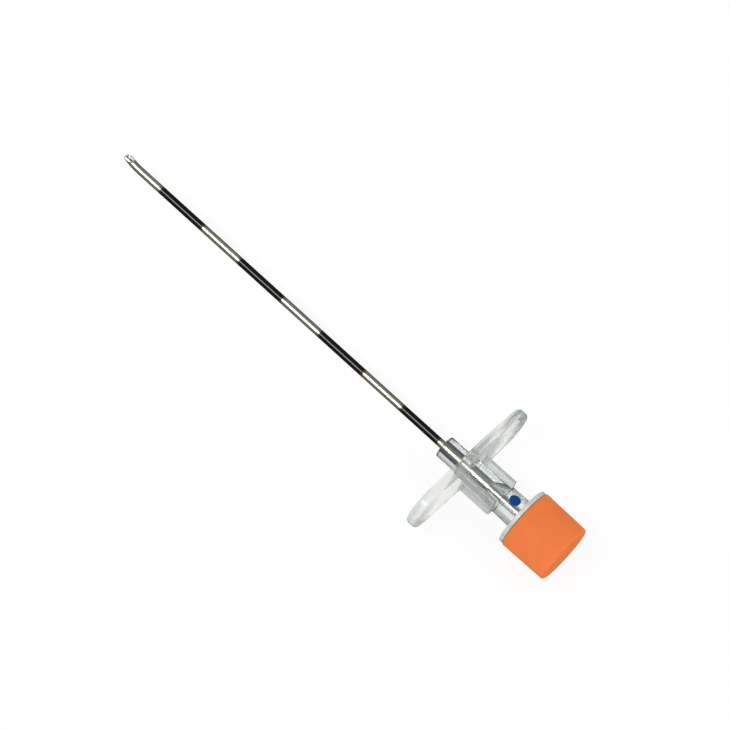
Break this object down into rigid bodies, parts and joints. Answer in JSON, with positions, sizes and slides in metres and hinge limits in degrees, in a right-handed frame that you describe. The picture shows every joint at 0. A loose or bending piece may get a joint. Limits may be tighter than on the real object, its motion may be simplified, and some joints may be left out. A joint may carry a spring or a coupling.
{
  "type": "epidural needle",
  "caption": "Curved-tip epidural needle with depth bands, a clear winged hub and a keyed stylet whose coloured cap closes the socket.",
  "frame": {"origin": "centre of the hub's front face, where the cannula leaves it, on the needle's axis", "axes": "+X back along the needle's axis from the hub's front face to the stylet cap, so the point lies on -X; +Z the way that the bevel and the blue dot face; +Y along one wing"},
  "size_m": [0.1081, 0.0302, 0.0116],
  "materials": {
    "steel_tube": "polished drawn stainless steel",
    "black_band": "glossy black coating",
    "clear_hub": "clear moulded polycarbonate",
    "cured_adhesive": "cured clear adhesive",
    "blue_ink": "deep blue ink",
    "clear_wing": "clear moulded polypropylene, slightly hazy",
    "steel_wire": "drawn stainless steel",
    "orange_cap": "satin orange moulded plastic"
  },
  "bodies": {
    "needle": {"cannula": "steel_tube", "depth_mark_1": "black_band", "depth_mark_2": "black_band", "depth_mark_3": "black_band", "depth_mark_4": "black_band", "hub": "clear_hub", "hub_adhesive": "cured_adhesive", "orientation_dot": "blue_ink"},
    "wings": {"wing_grip": "clear_wing"},
    "stylet": {"stylet_wire": "steel_wire", "stylet_cap": "orange_cap"}
  },
  "joints": [
    {"name": "stylet_withdraw", "type": "slide", "parent": "needle", "child": "stylet", "axis": [1, 0, 0], "range_m": [0, 0.11]},
    {"name": "wing_release", "type": "slide", "parent": "needle", "child": "wings", "axis": [-1, 0, 0], "range_m": [0, 0.095]}
  ]
}
